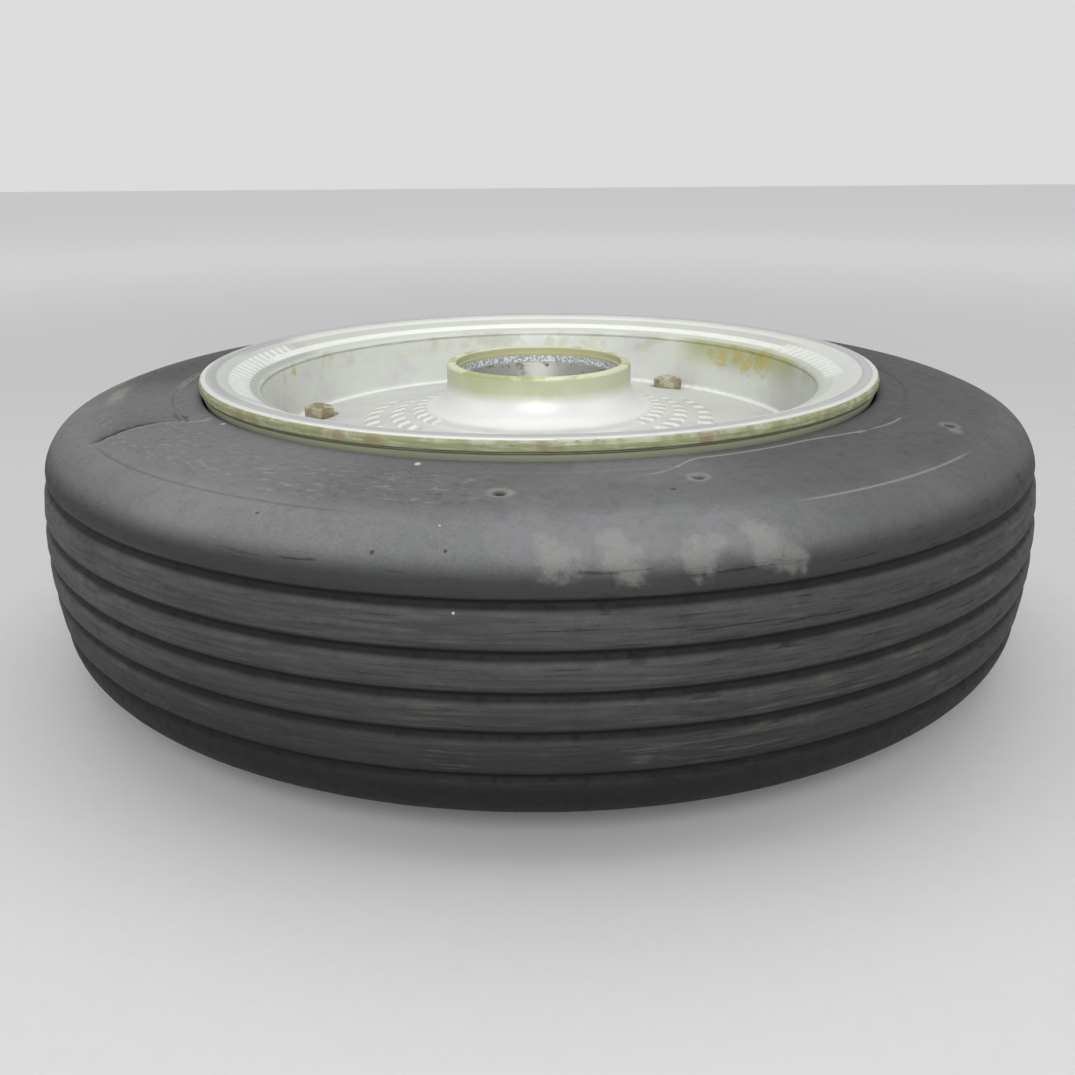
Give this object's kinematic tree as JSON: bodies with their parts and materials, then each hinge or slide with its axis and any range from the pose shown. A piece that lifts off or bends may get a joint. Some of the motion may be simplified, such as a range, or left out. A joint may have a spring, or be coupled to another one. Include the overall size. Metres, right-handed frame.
{
  "type": "aircraft nose wheel with tyre",
  "caption": "Split aircraft nose wheel lying flat: worn ribbed tyre, deep silver dish, open hub showing its bearing cup, inboard bearing still fitted.",
  "frame": {"origin": "centre of the wheel, on the axle's axis and midway between the two flanges", "axes": "+Z along the axle towards the outboard side, which faces up as the wheel lies on its inboard flange"},
  "size_m": [0.4302, 0.4302, 0.1226],
  "materials": {
    "worn_tread_rubber": "dull worn rubber, dusty on the shoulder",
    "silver_paint": "old silver paint with grime and yellow-brown stains",
    "bearing_steel": "ground bearing steel",
    "pressed_steel": "pressed sheet steel",
    "rusty_steel": "plated bolts, rusty and dirty",
    "seal_rubber": "black O-ring rubber",
    "felt": "oiled felt",
    "valve_brass": "dull brass"
  },
  "bodies": {
    "wheel": {"tyre": "worn_tread_rubber", "outboard_wheel_half": "silver_paint", "inboard_wheel_half": "silver_paint", "wheel_seal_ring": "seal_rubber", "outboard_bearing_cup": "bearing_steel", "inboard_bearing_cup": "bearing_steel", "seal_inner_ring": "pressed_steel", "seal_felt_ring": "felt", "seal_outer_ring": "pressed_steel", "seal_snap_ring": "pressed_steel", "tie_bolts": "rusty_steel", "tie_bolt_nuts": "rusty_steel", "tie_bolt_washers": "rusty_steel", "valve_stem": "valve_brass", "valve_core": "valve_brass", "valve_seal": "seal_rubber", "valve_cap": "valve_brass"},
    "cone": {"bearing_cone": "bearing_steel"},
    "roller_set": {"bearing_cage": "pressed_steel", "bearing_rollers": "bearing_steel"}
  },
  "joints": [
    {"name": "cone_spin", "type": "hinge", "parent": "wheel", "child": "cone", "pos_m": [0, 0, -0.04144], "axis": [0, 0, 1], "continuous": true},
    {"name": "roller_orbit", "type": "hinge", "parent": "wheel", "child": "roller_set", "pos_m": [0, 0, -0.04144], "axis": [0, 0, 1], "continuous": true}
  ],
  "couplings": [
    {"joint": "roller_orbit", "follows": "cone_spin", "ratio": 0.44547}
  ]
}
